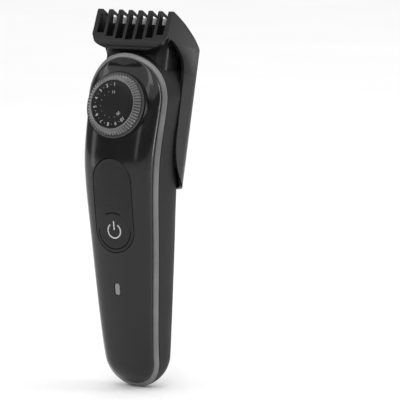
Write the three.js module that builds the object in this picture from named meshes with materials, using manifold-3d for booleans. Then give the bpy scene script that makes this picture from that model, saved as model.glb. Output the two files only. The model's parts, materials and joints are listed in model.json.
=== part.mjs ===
// Cordless beard trimmer with a length dial and a clip-on comb.
// Millimetres, +Z up the handle, -Y towards the front, +X to the trimmer's left-hand side as held.
// The upper half leans back, so the head pieces are drawn in a tilted head frame:
// u across (X), b back from the dial's face, a up along the head.
import * as THREE from 'three';
import Module from 'manifold-3d';

const wasm = await Module();
wasm.setup();

// ---------- driving dimensions ----------
const GAP = 0.3;
const WALL = 1.8;
const HEAD_TILT = 14 * Math.PI / 180;
const HEAD_ORIGIN = new THREE.Vector3(0, -6.4, 134.5);
const DEPTH_SHIFT = -11.5;

const BOTTOM_RADIUS = 14.9;
const BOTTOM_CENTRE = BOTTOM_RADIUS;
const TOP_CENTRE = 136.6;
const TOP_RADIUS = 21.5;
const STRIP_WIDTH = 1.7;
const STRIP_RIM = 2.0;
const PANEL_RIM = 2.3;
const PANEL_INSET = 2.0;
const FRONT_POWER = 2.2;
const REAR_POWER = 4;

// Depths along the handle: [height, depth].
const PARTING_LINE = [[0, 11], [6, 9], [14, 7], [23, 5.5], [41, 3.6], [66, 1.5], [93, -1.1], [104, -1.4],
  [114, -0.6], [134, 3.6], [147, 4.9], [154, 4.2], [159, 1.9]];
const FRONT_CROWN = [[0, 8.1], [5, 3.6], [14, 0.4], [26, -2.7], [49, -6.2], [77, -9.1], [95, -11.2],
  [108, -12.1], [120, -10.3], [134, -6.5], [147, -3.2], [154, -0.9], [159, -0.9]];
const BACK_LINE = [[0, 16], [6, 20], [14, 22.3], [23, 22.8], [57, 22.8], [94, 22.9], [104, 24.4],
  [116, 27.3], [130, 30.9], [142, 33.4], [150, 32.6], [159, 26]];

const DIAL_RADIUS = 14.4;
const DIAL_TOP_RADIUS = 12;
const DIAL_TEETH = 60;
const DIAL_TURN = 225 * Math.PI / 180;
const LIFT = 9;
const CAM_RADIUS = 13.6;
const CAM_START = 12;
const PIN_RADIUS = 0.9;

const BUTTON_HEIGHT = 76.6;
const BUTTON_RADIUS = 8.4;
const PAD_HALF_WIDTH = 10.3;
const PAD_TOP = 100.2;
const LIGHT_HEIGHT = 48.9;

const COMB_HALF_WIDTH = 21.8;
const COMB_BACK = 38.1;
const COMB_CORNER = 9.5;
const COMB_WALL = 1.5;
const COMB_FINS = 6;
const FIN_THICKNESS = 1.5;
const HEAD_INNER_HALF_WIDTH = 18.9;

const BLADE_PITCH = 1.8;
const MOTOR_DEPTH = 19.5;
const MOTOR_RADIUS = 9;
const ECCENTRICITY = 0.9;
const CRANK_PIN_RADIUS = 0.8;

// ---------- finishes ----------
const finish = (color, roughness, metalness = 0) =>
  new THREE.MeshStandardMaterial({ color, roughness, metalness });
const GLOSS_BLACK = finish(0x1b1c1d, 0.25);
const SOFT_BLACK = finish(0x202121, 0.6);
const SATIN_GREY = finish(0x6f7375, 0.4, 0.6);
const STEEL = finish(0xb9bcc0, 0.3, 0.9);
const BRASS = finish(0xb08d4a, 0.35, 0.9);
const BOARD_GREEN = finish(0x1f5a35, 0.5);
const CELL_SLEEVE = finish(0x2b5f9e, 0.45);
const CLEAR_GREY = finish(0x8f979b, 0.2);
const INNER_PLASTIC = finish(0x3a3c3e, 0.6);

// ---------- solids ----------
const headMatrix = new THREE.Matrix4().makeRotationX(-HEAD_TILT).setPosition(HEAD_ORIGIN);

// Vertices that fall on the same thousandth of a millimetre become one, and empty triangles go.
function weld(positions, index) {
  const THOUSANDTHS = 1000;
  const seen = new Map();
  const points = [];
  const renumber = [];
  for (let i = 0; i < positions.length; i += 3) {
    const place = [0, 1, 2].map((k) => Math.round(positions[i + k] * THOUSANDTHS));
    const key = place.join();
    if (!seen.has(key)) {
      seen.set(key, seen.size);
      points.push(...place.map((value) => value / THOUSANDTHS));
    }
    renumber.push(seen.get(key));
  }
  const triangles = [];
  for (let i = 0; i < index.length; i += 3) {
    const [p, q, r] = [0, 1, 2].map((k) => renumber[index[i + k]]);
    if (p !== q && q !== r && r !== p) triangles.push(p, q, r);
  }
  return { points, triangles };
}

function solid(geometry) {
  const position = geometry.attributes.position;
  const index = geometry.index ? geometry.index.array : Array.from({ length: position.count }, (_, i) => i);
  const { points, triangles } = weld(position.array, index);
  return new wasm.Manifold(new wasm.Mesh({
    numProp: 3,
    vertProperties: new Float32Array(points),
    triVerts: new Uint32Array(triangles),
  }));
}

function geometryOf(body) {
  const mesh = body.getMesh();
  const { points, triangles } = weld(mesh.vertProperties, mesh.triVerts);
  const geometry = new THREE.BufferGeometry();
  geometry.setAttribute('position', new THREE.Float32BufferAttribute(points, 3));
  geometry.setIndex(triangles);
  return geometry;
}

// A box between two corners.
function boxBetween(low, high) {
  const size = high.map((value, i) => value - low[i]);
  const geometry = new THREE.BoxGeometry(...size);
  return geometry.translate(...low.map((value, i) => value + size[i] / 2));
}

// An outline in (x, z) pulled along Y from one depth to another.
function slabAlongY(shape, front, back, segments = 12) {
  const geometry = new THREE.ExtrudeGeometry(shape, {
    depth: back - front, bevelEnabled: false, curveSegments: segments });
  return geometry.rotateX(Math.PI / 2).translate(0, back, 0);
}

// An outline in (y, z) pulled along X, centred on the middle plane.
function slabAlongX(shape, width, segments = 12) {
  const geometry = new THREE.ExtrudeGeometry(shape, {
    depth: width, bevelEnabled: false, curveSegments: segments });
  geometry.translate(0, 0, -width / 2);
  return geometry.applyMatrix4(new THREE.Matrix4().set(0, 0, 1, 0, 1, 0, 0, 0, 0, 1, 0, 0, 0, 0, 0, 1));
}

// An outline in (x, y) pulled along Z from one height to another.
function slabAlongZ(shape, low, high, segments = 12) {
  const geometry = new THREE.ExtrudeGeometry(shape, {
    depth: high - low, bevelEnabled: false, curveSegments: segments });
  return geometry.translate(0, 0, low);
}

function polygon(points) {
  return new THREE.Shape(points.map(([x, y]) => new THREE.Vector2(x, y)));
}

// A round bar along Y (dial axis in the head frame), at (x, z).
function barAlongY(radius, front, back, x = 0, z = 0, sides = 24) {
  const geometry = new THREE.CylinderGeometry(radius, radius, back - front, sides);
  return geometry.translate(x, (front + back) / 2, z);
}

// A round bar along Z at (x, y).
function barAlongZ(radius, low, high, x = 0, y = 0, sides = 24) {
  const geometry = new THREE.CylinderGeometry(radius, radius, high - low, sides);
  return geometry.rotateX(Math.PI / 2).translate(x, y, (low + high) / 2);
}

// An upright slot outline in (x, z) with round ends.
function slotOutline(halfWidth, lowCentre, highCentre) {
  const shape = new THREE.Shape();
  shape.absarc(0, highCentre, halfWidth, 0, Math.PI, false);
  shape.absarc(0, lowCentre, halfWidth, Math.PI, 2 * Math.PI, false);
  return shape;
}

// ---------- the handle's outline ----------
// Depth at a height, on a smooth curve through a table's points.
function depthAt(table, height) {
  const last = table.length - 1;
  const z = Math.min(Math.max(height, table[0][0]), table[last][0]);
  let i = 0;
  while (i < last - 1 && z > table[i + 1][0]) i += 1;
  const slope = (k) => {
    const before = table[Math.max(k - 1, 0)];
    const after = table[Math.min(k + 1, last)];
    return (after[1] - before[1]) / (after[0] - before[0]);
  };
  const [z0, y0] = table[i];
  const [z1, y1] = table[i + 1];
  const span = z1 - z0;
  const t = (z - z0) / span;
  const blend = t * t * (3 - 2 * t);
  return y0 + (y1 - y0) * blend
    + span * (slope(i) * t * (1 - t) ** 2 - slope(i + 1) * t * t * (1 - t));
}

// Half width of the straight stretch: a taper with a slight bulge.
function halfWidthAt(height) {
  const s = (height - BOTTOM_CENTRE) / (TOP_CENTRE - BOTTOM_CENTRE);
  return BOTTOM_RADIUS + (TOP_RADIUS - BOTTOM_RADIUS) * (1.35 * s - 0.35 * s * s);
}

// Stations up the right side: round end, tapered side, arched top.
function rightStations() {
  const stations = [];
  const arcSteps = 6;
  const arcSweep = 85.8 * Math.PI / 180;
  for (let i = 0; i <= arcSteps; i += 1) {
    const angle = -Math.PI / 2 + arcSweep * i / arcSteps;
    stations.push({ centre: BOTTOM_CENTRE, radius: BOTTOM_RADIUS, angle });
  }
  const sideSteps = 10;
  for (let i = 1; i < sideSteps; i += 1) {
    stations.push({ height: BOTTOM_CENTRE + (TOP_CENTRE - BOTTOM_CENTRE) * i / sideSteps });
  }
  const topSteps = 8;
  for (let i = 0; i <= topSteps; i += 1) {
    stations.push({ centre: TOP_CENTRE, radius: TOP_RADIUS, angle: Math.PI / 2 * i / topSteps });
  }
  return stations;
}

// A point of the outline, moved in by an inset and drawn towards the spine by a share.
function outlinePoint(station, inset, share) {
  if (station.height !== undefined) {
    return { x: (halfWidthAt(station.height) - inset) * share, z: station.height, level: station.height };
  }
  const rise = Math.sin(station.angle) * share;
  return {
    x: Math.cos(station.angle) * (station.radius - inset) * share,
    z: station.centre + rise * (station.radius - inset),
    level: station.centre + rise * station.radius,
  };
}

// A closed body through rings of the outline; each ring gives inset, share and depth.
function ringBody(rings, closed = false) {
  const right = rightStations();
  const left = right.slice(1, -1).reverse();
  const count = right.length + left.length;
  const points = [];
  for (const ring of rings) {
    for (let i = 0; i < count; i += 1) {
      const station = i < right.length ? right[i] : left[i - right.length];
      const side = i < right.length ? 1 : -1;
      const point = outlinePoint(station, ring.inset, ring.share);
      points.push(side * point.x, ring.depth(point.level), point.z);
    }
  }
  const faces = [];
  const bands = closed ? rings.length : rings.length - 1;
  for (let k = 0; k < bands; k += 1) {
    const here = k * count;
    const next = ((k + 1) % rings.length) * count;
    for (let i = 0; i < count; i += 1) {
      const j = (i + 1) % count;
      faces.push(here + i, next + i, next + j, here + i, next + j, here + j);
    }
  }
  const geometry = new THREE.BufferGeometry();
  geometry.setAttribute('position', new THREE.Float32BufferAttribute(points, 3));
  geometry.setIndex(faces);
  return solid(geometry);
}

const degrees = (value) => value * Math.PI / 180;
const partingAt = (level) => depthAt(PARTING_LINE, level);

// The front half: a crowned cover standing on the trim strip. A hollow starts behind the rim.
function frontBody(inset, drop, behind) {
  const lead = behind > 0 ? 0.6 : 0;
  const rings = [90, 75, 60, 45, 30, 18, 8, 0].map((angle) => {
    const share = Math.max(Math.cos(degrees(angle)), 0) ** (2 / FRONT_POWER);
    const rise = Math.sin(degrees(angle)) ** (2 / FRONT_POWER);
    return {
      inset,
      share: angle === 90 ? 0 : share,
      depth: (level) => {
        const rim = partingAt(level) - PANEL_RIM + lead;
        return rim - (rim - depthAt(FRONT_CROWN, level) - drop) * rise;
      },
    };
  });
  const back = (level) => partingAt(level) - PANEL_RIM + behind;
  if (behind > 0) rings.push({ inset, share: 1, depth: back });
  rings.push({ inset: inset + 2.4, share: 1, depth: back });
  rings.push({ inset, share: 0, depth: back });
  return ringBody(rings);
}

// The rear half: a deep rounded tub.
function rearBody(inset, ahead) {
  const front = (level) => partingAt(level) - ahead;
  const rings = [
    { inset, share: 0, depth: front },
    { inset: inset + 3.2, share: 1, depth: front },
    { inset, share: 1, depth: front },
  ];
  const angles = ahead > 0 ? [] : [0];
  for (const angle of [...angles, 4, 12, 25, 40, 55, 72, 90]) {
    const share = Math.max(Math.cos(degrees(angle)), 0) ** (2 / REAR_POWER);
    const rise = Math.sin(degrees(angle)) ** (2 / REAR_POWER);
    rings.push({
      inset,
      share: angle === 90 ? 0 : share,
      depth: (level) => partingAt(level) + (depthAt(BACK_LINE, level) - inset - partingAt(level)) * rise,
    });
  }
  return ringBody(rings);
}

function trimStrip() {
  const section = [[0, -GAP], [STRIP_WIDTH, -STRIP_RIM], [2.9, -STRIP_RIM], [2.9, -1.2], [1.4, -GAP]];
  const rings = section.map(([inset, offset]) => ({
    inset, share: 1, depth: (level) => partingAt(level) + offset }));
  return ringBody(rings.reverse(), true);
}

// ---------- the comb's sleeve on the head ----------
// A U in (u, b), open to the front, with rounded back corners.
function sleeveOutline(halfWidth, back, corner, front = -20) {
  const shape = new THREE.Shape();
  shape.moveTo(-halfWidth, front);
  shape.lineTo(halfWidth, front);
  shape.lineTo(halfWidth, back - corner);
  shape.absarc(halfWidth - corner, back - corner, corner, 0, Math.PI / 2, false);
  shape.absarc(-halfWidth + corner, back - corner, corner, Math.PI / 2, Math.PI, false);
  shape.closePath();
  return shape;
}

const sleeve = (halfWidth, back, corner, front) =>
  solid(slabAlongZ(sleeveOutline(halfWidth, back, corner, front), -90, 90, 6));

// The curved lower edge of the comb in (b, a): a quarter ellipse up to its front edge.
function combLowerEdge(grow) {
  const points = [];
  const steps = 8;
  for (let i = 0; i <= steps; i += 1) {
    const angle = Math.PI / 2 * (1 - i / steps);
    points.push([COMB_BACK - (17.6 + grow) * Math.cos(angle), -8 - (25 + grow) * Math.sin(angle)]);
  }
  return points;
}

// The step in the handle that the comb's sleeve slides over.
function combRecess(grow) {
  const region = polygon([[70, -8 - 25.5 - grow], ...combLowerEdge(0.5 + grow), [20 - grow, 90], [70, 90]]);
  const clearance = COMB_WALL + 0.4 + grow;
  const kept = sleeve(COMB_HALF_WIDTH - clearance, COMB_BACK - clearance, COMB_CORNER - clearance);
  return solid(slabAlongX(region, 120)).subtract(kept);
}

const inWorld = (body) => solid(geometryOf(body).applyMatrix4(headMatrix));

// ---------- scene graph ----------
const trimmer = new THREE.Group();
trimmer.position.y = DEPTH_SHIFT;
const head = new THREE.Group();
head.position.copy(HEAD_ORIGIN);
head.rotation.x = -HEAD_TILT;
trimmer.add(head);

function addPiece(group, name, shape, material) {
  const geometry = shape.isBufferGeometry ? shape : geometryOf(shape);
  const mesh = new THREE.Mesh(geometry, material);
  mesh.name = name;
  group.add(mesh);
  return mesh;
}

// ---------- housing ----------
const padOutline = (grow) => slotOutline(PAD_HALF_WIDTH + grow, BUTTON_HEIGHT, PAD_TOP);
const throughFront = (shape) => solid(slabAlongY(shape, -40, 5, 8));
const LIGHT_HALF_WIDTH = 1.4;
const LIGHT_REACH = 1.6;
const lightOutline = (grow) =>
  slotOutline(LIGHT_HALF_WIDTH + grow, LIGHT_HEIGHT - LIGHT_REACH, LIGHT_HEIGHT + LIGHT_REACH);

const NECK = { halfWidth: 16.5, front: 8.6, back: 26, corner: 5, wall: 1.8, low: 12, high: 33 };
const SOCKET = { halfWidth: 4.2, front: 12.6, back: 16.6, low: 1.6, high: 10 };
const SEAT_RADIUS = 15.9;
const SEAT_FACE = -0.1;

function roundedRectangle(halfWidth, front, back, corner) {
  const shape = new THREE.Shape();
  shape.absarc(halfWidth - corner, back - corner, corner, 0, Math.PI / 2, false);
  shape.absarc(-halfWidth + corner, back - corner, corner, Math.PI / 2, Math.PI, false);
  shape.absarc(-halfWidth + corner, front + corner, corner, Math.PI, 1.5 * Math.PI, false);
  shape.absarc(halfWidth - corner, front + corner, corner, 1.5 * Math.PI, 2 * Math.PI, false);
  return shape;
}

function neckBlock(grow, low, high) {
  const outline = roundedRectangle(NECK.halfWidth + grow, NECK.front - grow, NECK.back + grow,
    NECK.corner + grow);
  return solid(slabAlongZ(outline, low, high, 5));
}

function frontPieces() {
  const skin = frontBody(PANEL_INSET, 0, 0).subtract(frontBody(PANEL_INSET + WALL, WALL, 4));
  const seat = inWorld(solid(barAlongY(SEAT_RADIUS, SEAT_FACE, 4.4, 0, 0, 36)));
  const camRoom = inWorld(solid(barAlongY(CAM_RADIUS + 0.6, 2.2, 12, 0, 0, 36)));
  const shaftHole = inWorld(solid(barAlongY(2.6, -10, 10)));
  const panel = skin.add(seat)
    .subtract(camRoom)
    .subtract(shaftHole)
    .subtract(throughFront(padOutline(0.15)))
    .subtract(throughFront(lightOutline(0.15)));
  const pad = skin.intersect(throughFront(padOutline(-0.15)))
    .subtract(solid(barAlongY(BUTTON_RADIUS + GAP, -40, 10, 0, BUTTON_HEIGHT, 32)));
  const buttonStem = solid(barAlongY(3, -8.2, -5.3, 0, BUTTON_HEIGHT));
  const button = skin.intersect(solid(barAlongY(BUTTON_RADIUS, -40, 5, 0, BUTTON_HEIGHT, 32)))
    .add(buttonStem);
  const lightRod = solid(boxBetween([-0.9, -5.4, LIGHT_HEIGHT - 2], [0.9, -3.2, LIGHT_HEIGHT + 2]));
  const light = skin.intersect(throughFront(lightOutline(-0.15))).add(lightRod);
  addPiece(trimmer, 'front_panel', panel, GLOSS_BLACK);
  addPiece(trimmer, 'grip_pad', pad, SOFT_BLACK);
  addPiece(trimmer, 'power_button', button, SOFT_BLACK);
  addPiece(trimmer, 'charge_light', light, CLEAR_GREY);
}

// Hooks that carry the comb reach out through a slot on each side.
const HOOK = { low: -15, high: -9, front: 25, back: 29, tip: 20.9 };

function rearPiece() {
  const outer = rearBody(0, 0).subtract(inWorld(combRecess(0)));
  const inner = rearBody(WALL, 4).subtract(inWorld(combRecess(WALL)));
  const slot = boxBetween(
    [-40, HOOK.front - 0.4, HOOK.low - 0.6],
    [40, HOOK.back + 0.4, HOOK.high + LIFT + 0.6]);
  const socketHole = boxBetween(
    [-SOCKET.halfWidth - GAP, SOCKET.front - GAP, -5],
    [SOCKET.halfWidth + GAP, SOCKET.back + GAP, SOCKET.high + 3]);
  const shell = outer.subtract(inner)
    .subtract(inWorld(neckBlock(0.4, 10, 80)))
    .subtract(inWorld(solid(slot)))
    .subtract(solid(socketHole));
  addPiece(trimmer, 'rear_shell', shell, SOFT_BLACK);
}

frontPieces();
rearPiece();
addPiece(trimmer, 'trim_strip', trimStrip(), SATIN_GREY);

// ---------- inside the handle ----------
const BOARD = { front: -1.8, back: -0.2, low: 42, high: 98, halfWidth: 8 };
const BATTERY = { depth: 9, radius: 7, low: 36, high: 86 };
const CHASSIS = { front: 16.6, back: 18, low: 22, high: 88, halfWidth: 8.5 };
const CHASSIS_SCREWS = [[-6, 28], [6, 28], [-6, 82], [6, 82]];

function screwAlongY(headRadius, shankRadius, headBottom, headHeight, shankLength, x, z) {
  const profile = [[0, -shankLength], [shankRadius, -shankLength], [shankRadius, 0], [headRadius, 0],
    [headRadius, headHeight * 0.6], [headRadius * 0.6, headHeight], [0, headHeight]];
  const geometry = new THREE.LatheGeometry(profile.map(([r, y]) => new THREE.Vector2(r, y)), 12);
  return geometry.translate(x, headBottom, z);
}

function handleInside() {
  addPiece(trimmer, 'circuit_board', boxBetween(
    [-BOARD.halfWidth, BOARD.front, BOARD.low], [BOARD.halfWidth, BOARD.back, BOARD.high]), BOARD_GREEN);
  addPiece(trimmer, 'power_switch', boxBetween(
    [-3, -4.3, BUTTON_HEIGHT - 3], [3, BOARD.front - GAP, BUTTON_HEIGHT + 3]), STEEL);
  addPiece(trimmer, 'charge_led', boxBetween(
    [-1, -2.9, LIGHT_HEIGHT - 1.2], [1, BOARD.front - GAP, LIGHT_HEIGHT + 1.2]), CLEAR_GREY);
  addPiece(trimmer, 'battery_cell', barAlongZ(
    BATTERY.radius, BATTERY.low, BATTERY.high, 0, BATTERY.depth), CELL_SLEEVE);
  addPiece(trimmer, 'battery_tab_lower', boxBetween(
    [-2.5, 3, BATTERY.low - 0.8], [2.5, 15, BATTERY.low - GAP]), STEEL);
  addPiece(trimmer, 'battery_tab_upper', boxBetween(
    [-2.5, 3, BATTERY.high + GAP], [2.5, 15, BATTERY.high + 0.8]), STEEL);
  let chassis = solid(boxBetween(
    [-CHASSIS.halfWidth, CHASSIS.front, CHASSIS.low], [CHASSIS.halfWidth, CHASSIS.back, CHASSIS.high]));
  CHASSIS_SCREWS.forEach(([x, z], i) => {
    chassis = chassis.subtract(solid(barAlongY(1.4, 10, 25, x, z, 12)));
    addPiece(trimmer, `chassis_screw_${i + 1}`,
      screwAlongY(2.1, 1.05, CHASSIS.back + GAP, 1.4, 3, x, z), STEEL);
  });
  addPiece(trimmer, 'chassis', chassis, INNER_PLASTIC);
}

// The charging socket: a block with a recess open to the bottom, and two pins in it.
function chargingSocket() {
  const block = solid(boxBetween(
    [-SOCKET.halfWidth, SOCKET.front, SOCKET.low], [SOCKET.halfWidth, SOCKET.back, SOCKET.high]));
  const recess = solid(boxBetween([-3.2, 13.6, SOCKET.low - 2], [3.2, 15.6, 8]));
  addPiece(trimmer, 'charging_socket', block.subtract(recess), INNER_PLASTIC);
  for (const [name, x] of [['charging_pin_right', -1.5], ['charging_pin_left', 1.5]]) {
    addPiece(trimmer, name, barAlongZ(0.5, 3, 7.7, x, 14.6, 10), BRASS);
  }
}

handleInside();
chargingSocket();

// ---------- length dial ----------
// The knob's knurled skirt: a cone frustum with teeth round it.
function dialKnob() {
  const rings = [[DIAL_RADIUS, -1.1], [DIAL_RADIUS, -1.9], [DIAL_TOP_RADIUS, -3.9]];
  const toothDepth = 0.45;
  const pointsPerTooth = 2;
  const count = DIAL_TEETH * pointsPerTooth;
  const points = [];
  for (const [radius, depth] of rings) {
    for (let i = 0; i < count; i += 1) {
      const angle = 2 * Math.PI * i / count;
      const r = i % pointsPerTooth === 0 ? radius : radius - toothDepth;
      points.push(r * Math.cos(angle), depth, r * Math.sin(angle));
    }
  }
  points.push(0, rings[0][1], 0, 0, rings[2][1], 0);
  const bottomCentre = rings.length * count;
  const topCentre = bottomCentre + 1;
  const faces = [];
  for (let i = 0; i < count; i += 1) {
    const j = (i + 1) % count;
    for (let k = 0; k < rings.length - 1; k += 1) {
      const here = k * count;
      const next = here + count;
      faces.push(here + i, next + j, next + i, here + i, here + j, next + j);
    }
    faces.push(bottomCentre, j, i, topCentre, 2 * count + i, 2 * count + j);
  }
  const geometry = new THREE.BufferGeometry();
  geometry.setAttribute('position', new THREE.Float32BufferAttribute(points, 3));
  geometry.setIndex(faces);
  return solid(geometry)
    .subtract(solid(barAlongY(11.3, -10, -2.6, 0, 0, 40)))
    .subtract(solid(barAlongY(2.5, -1.9, 5)));
}

// The scroll groove in (u, a): its radius falls steadily as the dial turns. The width is measured
// square to the groove, so the pin has the same room where the spiral is steep.
function scrollOutline(halfWidth) {
  const steps = 24;
  const fall = LIFT / DIAL_TURN;
  // A point beside the groove's centre line: 0 degrees is outwards, 90 is onwards.
  const beside = (turn, direction) => {
    const radius = CAM_START - fall * turn;
    const along = Math.hypot(radius, fall);
    const outer = halfWidth * Math.cos(degrees(direction));
    const onward = halfWidth * Math.sin(degrees(direction));
    const out = radius + (radius * outer - fall * onward) / along;
    const on = (fall * outer + radius * onward) / along;
    return [out * Math.sin(turn) + on * Math.cos(turn), -out * Math.cos(turn) + on * Math.sin(turn)];
  };
  const points = [];
  for (let i = 0; i <= steps; i += 1) points.push(beside(DIAL_TURN * i / steps, 0));
  for (const direction of [45, 90, 135]) points.push(beside(DIAL_TURN, direction));
  for (let i = steps; i >= 0; i -= 1) points.push(beside(DIAL_TURN * i / steps, 180));
  for (const direction of [225, 270, 315]) points.push(beside(0, direction));
  return polygon(points);
}

function dialPieces() {
  addPiece(head, 'dial_knob', dialKnob(), SATIN_GREY);
  addPiece(head, 'dial_face', barAlongY(11, -3.7, -2.9, 0, 0, 40), GLOSS_BLACK);
  addPiece(head, 'dial_shaft', barAlongY(2.2, -1.6, 2.3), INNER_PLASTIC);
  const groove = solid(slabAlongY(scrollOutline(PIN_RADIUS + 0.25), 3.6, 6));
  const camDisc = solid(barAlongY(CAM_RADIUS, 2.6, 5.4, 0, 0, 40));
  addPiece(head, 'dial_cam', camDisc.subtract(groove), INNER_PLASTIC);
  const bezel = solid(barAlongY(15.3, -0.8, -0.4, 0, 0, 40))
    .subtract(solid(barAlongY(12, -5, 5, 0, 0, 40)));
  addPiece(head, 'dial_gasket', bezel, SOFT_BLACK);
  const spring = boxBetween([14, 6.2, -4], [14.4, 8, 6]);
  addPiece(head, 'dial_click_spring', spring, STEEL);
}

// ---------- comb carriage ----------
// A crossbar behind the cam, an arm down each side of the motor and a hook on each arm.
function combCarriage() {
  let carriage = solid(boxBetween([-16, 8.4, HOOK.low], [16, 9.9, HOOK.high]));
  for (const side of [-1, 1]) {
    const across = (inner, outer) => (side > 0 ? [inner, outer] : [-outer, -inner]);
    const [armLow, armHigh] = across(14.6, 16.3);
    const [hookLow, hookHigh] = across(16, HOOK.tip);
    carriage = carriage
      .add(solid(boxBetween([armLow, 8.4, HOOK.low], [armHigh, HOOK.back, HOOK.high])))
      .add(solid(boxBetween([hookLow, HOOK.front, HOOK.low], [hookHigh, HOOK.back, HOOK.high])));
  }
  addPiece(head, 'comb_carriage', carriage, INNER_PLASTIC);
  addPiece(head, 'follower_pin', barAlongY(PIN_RADIUS, 3.9, 8.1, 0, -CAM_START, 16), STEEL);
}

// ---------- motor and drive ----------
function motorPieces() {
  addPiece(head, 'motor', solid(barAlongZ(MOTOR_RADIUS, -17, 9.4, 0, MOTOR_DEPTH, 32))
    .add(solid(barAlongZ(3, 9, 11, 0, MOTOR_DEPTH))), STEEL);
  const ring = solid(barAlongZ(MOTOR_RADIUS + 2.2, -6, 0, 0, MOTOR_DEPTH, 32))
    .subtract(solid(barAlongZ(MOTOR_RADIUS + GAP, -10, 10, 0, MOTOR_DEPTH, 32)))
    .subtract(solid(boxBetween([-30, 0, -20], [30, 16, 20])));
  addPiece(head, 'motor_bracket', ring, INNER_PLASTIC);
  const shaft = solid(barAlongZ(3.4, 12.5, 18, 0, MOTOR_DEPTH))
    .add(solid(barAlongZ(2, 17.5, 31, 0, MOTOR_DEPTH, 16)))
    .add(solid(barAlongZ(CRANK_PIN_RADIUS, 30.5, 35.2, 0, MOTOR_DEPTH - ECCENTRICITY, 12)));
  addPiece(head, 'drive_shaft', shaft, STEEL);
}

// ---------- cutting head ----------
const BLADE = { root: 36.4, teeth: 39.8, fixedTip: 43, movingTip: 42.5 };

// A toothed plate in (u, a).
function bladeOutline(teeth, tip, halfWidth) {
  const points = [[-halfWidth, BLADE.root], [halfWidth, BLADE.root], [halfWidth, BLADE.teeth]];
  const rootHalf = 0.6;
  const tipHalf = 0.32;
  for (let i = teeth - 1; i >= 0; i -= 1) {
    const centre = (i - (teeth - 1) / 2) * BLADE_PITCH;
    points.push([centre + rootHalf, BLADE.teeth], [centre + tipHalf, tip],
      [centre - tipHalf, tip], [centre - rootHalf, BLADE.teeth]);
  }
  points.push([-halfWidth, BLADE.teeth]);
  return polygon(points);
}

function cuttingHead() {
  const neck = neckBlock(0, NECK.low, NECK.high)
    .subtract(neckBlock(-NECK.wall, NECK.low - 5, NECK.high + 5));
  addPiece(head, 'head_neck', neck, SOFT_BLACK);
  const baseSide = polygon([[9.3, 33.3], [25.6, 33.3], [25.6, 34.4], [14, 39.2], [12.3, 39.2], [12.3, 36.1],
    [9.3, 36.1]]);
  const base = solid(slabAlongX(baseSide, 31.6))
    .subtract(solid(boxBetween([-5.8, 9, 32], [5.8, 23.6, 36.4])));
  addPiece(head, 'blade_base', base, INNER_PLASTIC);
  const cover = boxBetween([-15.8, 8.2, 33.3], [15.8, 8.9, 39.4]);
  addPiece(head, 'blade_cover', cover, GLOSS_BLACK);
  addPiece(head, 'fixed_blade', slabAlongY(bladeOutline(18, BLADE.fixedTip, 15.8), 10.9, 11.9), STEEL);
  addPiece(head, 'moving_blade', slabAlongY(bladeOutline(16, BLADE.movingTip, 14.4), 9.6, 10.6), STEEL);
  // The slot is centred on the motor's axis, so that it clears the crank pin all the way round.
  const slotHalfWidth = 2.8;
  const slotReach = ECCENTRICITY + CRANK_PIN_RADIUS + 0.5;
  const yoke = solid(boxBetween([-4.5, 9.6, 33.6], [4.5, 22.8, 35.6]))
    .subtract(solid(boxBetween(
      [-slotHalfWidth, MOTOR_DEPTH - slotReach, 30],
      [slotHalfWidth, MOTOR_DEPTH + slotReach, 40])));
  addPiece(head, 'blade_yoke', yoke, INNER_PLASTIC);
}

dialPieces();
combCarriage();
motorPieces();
cuttingHead();

// ---------- comb ----------
const FRONT_LIP = 26.1;
const SLOT_BOTTOM = 31.2;
const SLOT_BACK = 30;

// The comb's outside in (b, a).
function combSide() {
  return polygon([
    ...combLowerEdge(0),
    [20.1, 17], [20.4, 22], [18.6, 26.5], [14.5, 30], [9.5, 32.6], [6.4, 33], [5, 30.5], [3.2, FRONT_LIP],
    [1.8, 27.2], [1.7, 29.2], [3.2, 32], [5.3, 44.8], [5.9, 45.7], [7.2, 45.6],
    [15.9, 42.8], [22.3, 39.9], [28.3, 36.8], [33.1, 33.2], [36.2, 29], [37.8, 24], [38.1, 18],
  ]);
}

// The room inside for the head in (b, a).
function combRoomSide() {
  return polygon([
    [60, -60], [-10, -60], [-10, 24], [4.8, 24], [4.8, 31], [7.8, 33.4], [7.8, 43.2], [8.6, 43.9],
    [12.4, 43.5], [13.6, 41], [22, 37.4], [28, 34.6], [32.2, 31.4], [35, 27.6], [36.3, 23.6], [36.6, 19],
    [36.6, 10], [60, 10],
  ]);
}

// The comb's width in (u, a), narrowing towards the tips.
function combFront(lowHalf, highHalf) {
  return polygon([[-lowHalf, -60], [lowHalf, -60], [lowHalf, 17], [highHalf, 30], [highHalf, 60],
    [-highHalf, 60], [-highHalf, 30], [-lowHalf, 17]]);
}

// The front plate's lower edge dips at the middle.
function lipCut() {
  const points = [];
  const steps = 12;
  const reach = 24;
  for (let i = 0; i <= steps; i += 1) {
    const u = reach * (2 * i / steps - 1);
    points.push([u, FRONT_LIP - 0.4 + 5.2 * Math.abs(u / 20) ** 3]);
  }
  points.push([reach, 10], [-reach, 10]);
  return solid(slabAlongY(polygon(points), -5, 5.2));
}

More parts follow.
